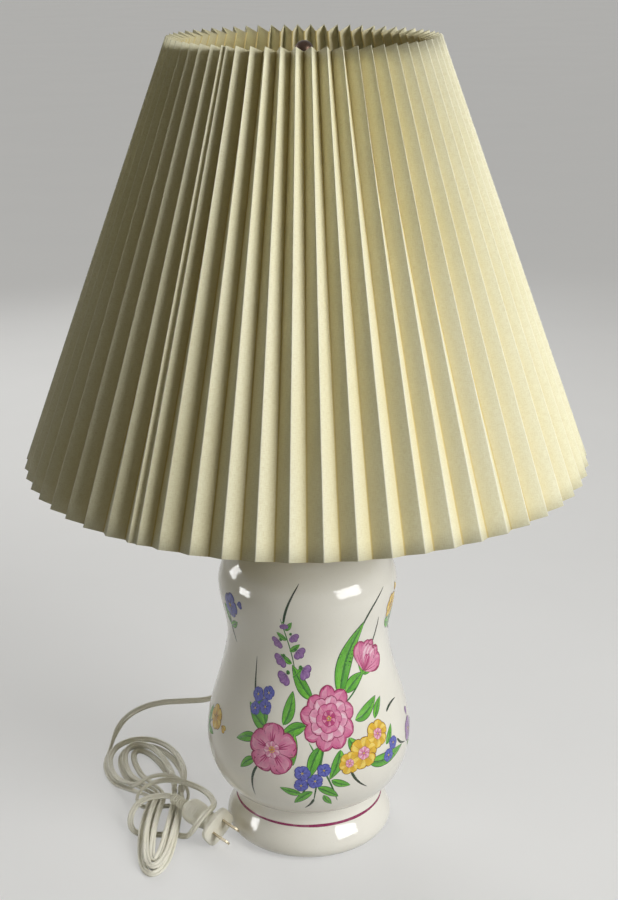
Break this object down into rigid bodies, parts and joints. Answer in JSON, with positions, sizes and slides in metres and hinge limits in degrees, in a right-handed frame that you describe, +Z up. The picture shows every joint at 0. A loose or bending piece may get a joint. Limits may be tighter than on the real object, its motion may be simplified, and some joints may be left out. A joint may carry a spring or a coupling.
{
  "type": "table lamp",
  "caption": "Table lamp with a glazed ceramic body on a wide foot, painted with flowers, a brass harp and a pleated cone shade, its flat cord tied in a hank with the plug.",
  "frame": {"origin": "on the lamp's axis, at the table it stands on", "axes": "+Z up along the lamp's axis, -Y the painted front, +Y the side where the cord leaves, +X the side of the switch knob"},
  "size_m": [0.4312, 0.4312, 0.6402],
  "materials": {
    "ivory_glaze": "glossy glaze, painted with flowers",
    "cream_paper": "matte, laminated on a stiff film",
    "brass": "polished and lacquered",
    "dark_bronze": "dark antiqued",
    "zinc_steel": "zinc plated",
    "ivory_vinyl": "soft satin vinyl",
    "black_rubber": "matte",
    "grey_fibre": "matte fibre",
    "black_phenolic": "moulded",
    "aluminium": "bright",
    "frosted_glass": "frosted inside"
  },
  "bodies": {
    "base": {"ceramic_body": "ivory_glaze", "rubber_washer": "black_rubber", "steel_washer": "zinc_steel", "lock_nut": "zinc_steel", "threaded_pipe": "zinc_steel", "body_cap": "brass", "neck_spacer": "brass", "harp_saddle": "brass", "socket_cap": "brass", "socket_shell": "brass", "insulating_sleeve": "grey_fibre", "switch_block": "black_phenolic", "terminal_screw_front": "brass", "terminal_screw_rear": "brass", "screw_shell": "aluminium", "centre_contact": "brass", "cord_bushing": "ivory_vinyl", "cord_inside": "ivory_vinyl", "cord_lead": "ivory_vinyl", "cord_hank": "ivory_vinyl", "cord_tie": "ivory_vinyl", "plug_body": "ivory_vinyl", "plug_blade_left": "brass", "plug_blade_right": "brass"},
    "switch": {"switch_knob": "black_phenolic", "switch_shaft": "brass"},
    "bulb": {"bulb_glass": "frosted_glass", "bulb_base": "aluminium", "bulb_insulator": "black_phenolic", "bulb_tip": "zinc_steel"},
    "harp": {"harp_bow": "brass"},
    "sleeve_front": {"harp_sleeve_front": "brass"},
    "sleeve_rear": {"harp_sleeve_rear": "brass"},
    "stud": {"harp_stud": "brass"},
    "shade": {"shade_pleats": "cream_paper", "spider": "zinc_steel", "top_ring": "zinc_steel", "bottom_ring": "zinc_steel", "shade_strut_1": "zinc_steel", "shade_strut_2": "zinc_steel", "shade_strut_3": "zinc_steel"},
    "finial": {"finial": "dark_bronze"}
  },
  "joints": [
    {"name": "switch_turn", "type": "hinge", "parent": "base", "child": "switch", "pos_m": [0.0265, 0, 0.3364], "axis": [1, 0, 0], "continuous": true},
    {"name": "bulb_lift", "type": "slide", "parent": "base", "child": "bulb", "axis": [0, 0, 1], "range_m": [0, 0.03]},
    {"name": "harp_lift", "type": "slide", "parent": "base", "child": "harp", "axis": [0, 0, 1], "range_m": [0, 0.03]},
    {"name": "sleeve_front_lift", "type": "slide", "parent": "harp", "child": "sleeve_front", "axis": [0, 0, 1], "range_m": [0, 0.014]},
    {"name": "sleeve_rear_lift", "type": "slide", "parent": "harp", "child": "sleeve_rear", "axis": [0, 0, 1], "range_m": [0, 0.014]},
    {"name": "stud_turn", "type": "hinge", "parent": "harp", "child": "stud", "pos_m": [0, 0, 0.6091], "axis": [0, 0, 1], "continuous": true},
    {"name": "shade_lift", "type": "slide", "parent": "stud", "child": "shade", "axis": [0, 0, 1], "range_m": [0, 0.3]},
    {"name": "finial_lift", "type": "slide", "parent": "shade", "child": "finial", "axis": [0, 0, 1], "range_m": [0, 0.025]}
  ]
}
